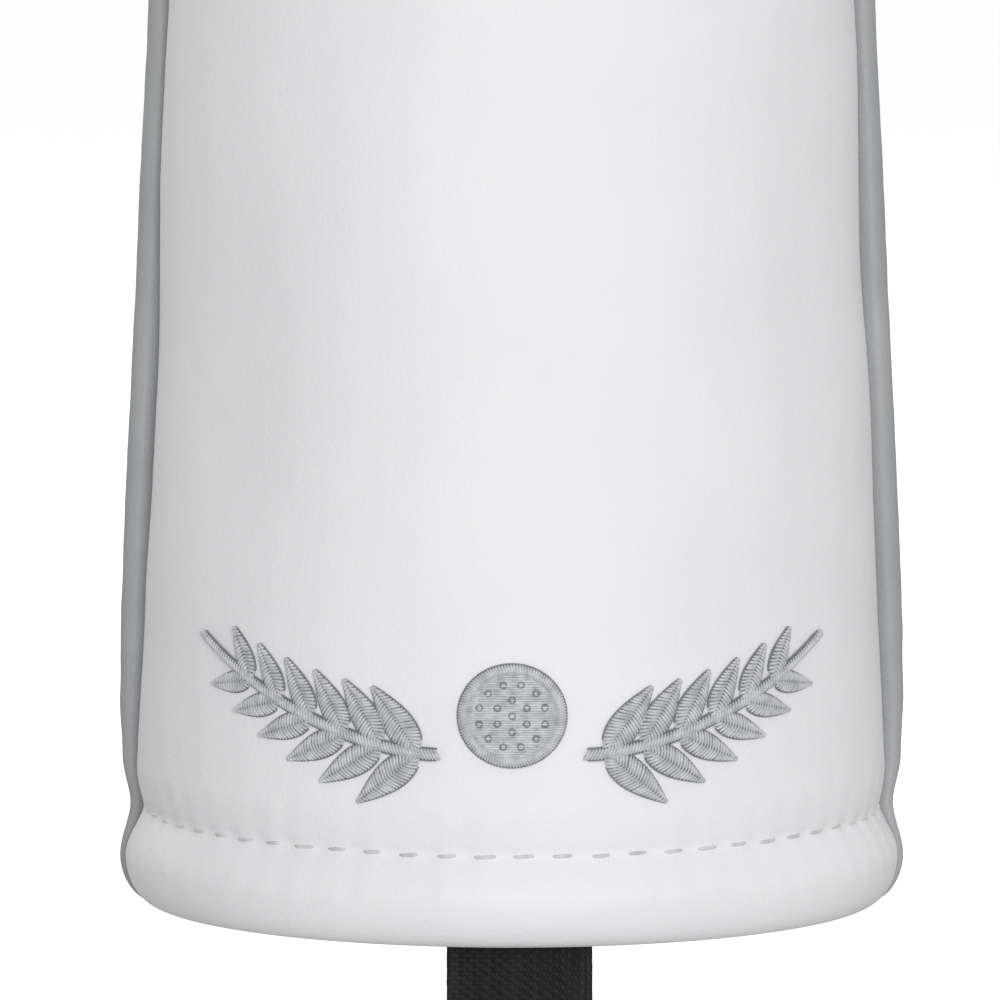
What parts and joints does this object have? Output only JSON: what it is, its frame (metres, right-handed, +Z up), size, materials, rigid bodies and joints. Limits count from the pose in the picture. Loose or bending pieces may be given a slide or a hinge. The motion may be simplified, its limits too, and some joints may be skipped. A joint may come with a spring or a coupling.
{
  "type": "driver head cover",
  "caption": "Padded sleeve that slips over a golf driver's head, with a hemmed opening below, piped side seams and a hanging webbing pull loop.",
  "frame": {"origin": "centre of the opening, in the plane of the rim", "axes": "+Z up the sleeve to the crown, -Y out of the front that carries the embroidery and the strap, X across the two side seams"},
  "size_m": [0.1234, 0.101, 0.3839],
  "materials": {
    "white_leather": "satin",
    "piping_leather": "satin",
    "cord_cotton": "matte",
    "foam": "matte",
    "knit_lining": "matte",
    "white_thread": "satin",
    "elastic": "matte",
    "stabiliser": "matte",
    "silver_thread": "satin",
    "label_satin": "satin",
    "black_webbing": "satin",
    "black_thread": "satin"
  },
  "bodies": {
    "cover": {"front_panel": "white_leather", "back_panel": "white_leather", "piping_cover": "piping_leather", "piping_cord": "cord_cotton", "padding_front": "foam", "padding_back": "foam", "lining_front": "knit_lining", "lining_back": "knit_lining", "seam_thread_front": "white_thread", "seam_thread_back": "white_thread", "hem_thread_front": "white_thread", "hem_thread_back": "white_thread", "neck_elastic": "elastic", "embroidery_backing": "stabiliser", "embroidery_left": "silver_thread", "embroidery_right": "silver_thread", "embroidery_ball": "silver_thread", "care_label": "label_satin", "strap_root": "black_webbing", "root_stitching": "black_thread"},
    "strap": {"pull_strap": "black_webbing", "strap_tack_front": "black_thread", "strap_tack_back": "black_thread"}
  },
  "joints": [
    {"name": "strap_swing", "type": "hinge", "parent": "cover", "child": "strap", "pos_m": [0, -0.0362, -0.002], "axis": [1, 0, 0], "range_deg": [-80, 75]}
  ]
}
